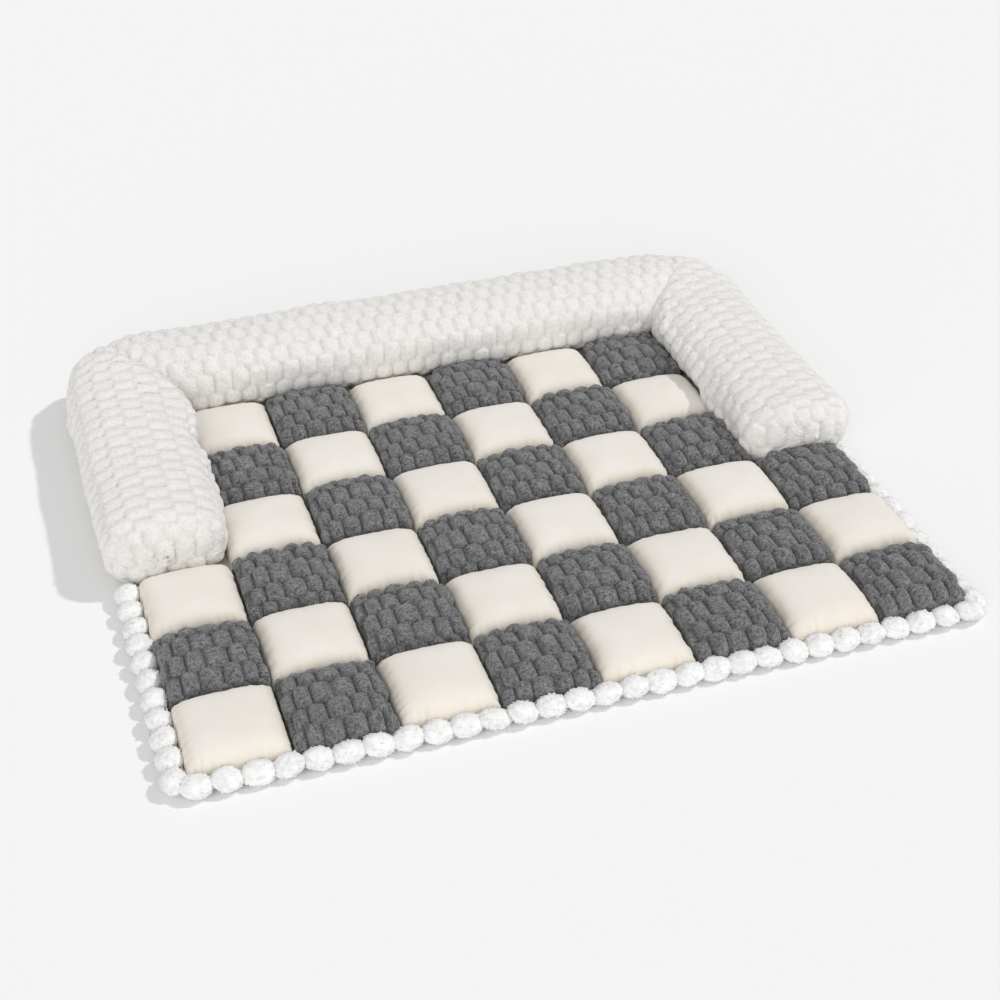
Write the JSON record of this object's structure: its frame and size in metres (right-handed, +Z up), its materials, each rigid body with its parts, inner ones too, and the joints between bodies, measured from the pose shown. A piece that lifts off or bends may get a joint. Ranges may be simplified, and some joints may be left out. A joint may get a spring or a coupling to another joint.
{
  "type": "pet cushion bed",
  "caption": "Puff-quilted checkered pet mat with a U-shaped plush bolster round its back and sides, a pompom edge and a non-slip underside.",
  "frame": {"origin": "middle of the underside, under the middle of the overall box", "axes": "+Z up, +X to the right seen from the front, -Y towards the open front edge"},
  "size_m": [0.86, 0.758, 0.08],
  "materials": {
    "cream_velvet": "short-pile cream velvet, matt with a soft sheen",
    "grey_bubble_plush": "dark grey jacquard plush in rows of raised bubbles",
    "white_bubble_plush": "warm white jacquard plush in rows of raised bubbles",
    "fibre_fill": "loose polyester fibre",
    "pompom_yarn": "white brushed yarn",
    "trim_tape": "white woven tape",
    "nonslip_cloth": "off-white cloth with small rubber grip dots",
    "lining_cloth": "plain cream woven lining",
    "zip_tape_cloth": "off-white woven zip tape with a nylon coil",
    "zip_enamel": "off-white enamel"
  },
  "bodies": {
    "bed": {"base_lining": "lining_cloth", "bolster_cover_back": "white_bubble_plush", "bolster_cover_left": "white_bubble_plush", "bolster_cover_right": "white_bubble_plush", "bolster_fill_back": "fibre_fill", "bolster_fill_left": "fibre_fill", "bolster_fill_right": "fibre_fill", "cream_puff_r1_c1": "cream_velvet", "cream_puff_r1_c3": "cream_velvet", "cream_puff_r1_c5": "cream_velvet", "cream_puff_r1_c7": "cream_velvet", "cream_puff_r2_c2": "cream_velvet", "cream_puff_r2_c4": "cream_velvet", "cream_puff_r2_c6": "cream_velvet", "cream_puff_r2_c8": "cream_velvet", "cream_puff_r3_c1": "cream_velvet", "cream_puff_r3_c3": "cream_velvet", "cream_puff_r3_c5": "cream_velvet", "cream_puff_r3_c7": "cream_velvet", "cream_puff_r4_c2": "cream_velvet", "cream_puff_r4_c4": "cream_velvet", "cream_puff_r4_c6": "cream_velvet", "cream_puff_r5_c3": "cream_velvet", "cream_puff_r5_c5": "cream_velvet", "cream_puff_r5_c7": "cream_velvet", "cream_puff_r6_c2": "cream_velvet", "cream_puff_r6_c4": "cream_velvet", "cream_puff_r6_c6": "cream_velvet", "grey_puff_r1_c2": "grey_bubble_plush", "grey_puff_r1_c4": "grey_bubble_plush", "grey_puff_r1_c6": "grey_bubble_plush", "grey_puff_r1_c8": "grey_bubble_plush", "grey_puff_r2_c1": "grey_bubble_plush", "grey_puff_r2_c3": "grey_bubble_plush", "grey_puff_r2_c5": "grey_bubble_plush", "grey_puff_r2_c7": "grey_bubble_plush", "grey_puff_r3_c2": "grey_bubble_plush", "grey_puff_r3_c4": "grey_bubble_plush", "grey_puff_r3_c6": "grey_bubble_plush", "grey_puff_r3_c8": "grey_bubble_plush", "grey_puff_r4_c3": "grey_bubble_plush", "grey_puff_r4_c5": "grey_bubble_plush", "grey_puff_r4_c7": "grey_bubble_plush", "grey_puff_r5_c2": "grey_bubble_plush", "grey_puff_r5_c4": "grey_bubble_plush", "grey_puff_r5_c6": "grey_bubble_plush", "grey_puff_r6_c3": "grey_bubble_plush", "grey_puff_r6_c5": "grey_bubble_plush", "grey_puff_r6_c7": "grey_bubble_plush", "nonslip_backing": "nonslip_cloth", "pompom_tape": "trim_tape", "pompoms_front": "pompom_yarn", "pompoms_left": "pompom_yarn", "pompoms_right": "pompom_yarn", "puff_fills": "fibre_fill", "zip_stops": "zip_enamel", "zip_tape_lower": "zip_tape_cloth", "zip_tape_upper": "zip_tape_cloth"},
    "slider": {"zip_slider": "zip_enamel"},
    "pull": {"zip_pull": "zip_enamel"}
  },
  "joints": [
    {"name": "zip_slide", "type": "slide", "parent": "bed", "child": "slider", "axis": [-1, 0, 0], "range_m": [0, 0.387]},
    {"name": "pull_swing", "type": "hinge", "parent": "slider", "child": "pull", "pos_m": [0.1935, 0.37615, 0.041], "axis": [0, 0, -1], "range_deg": [0, 150]}
  ]
}
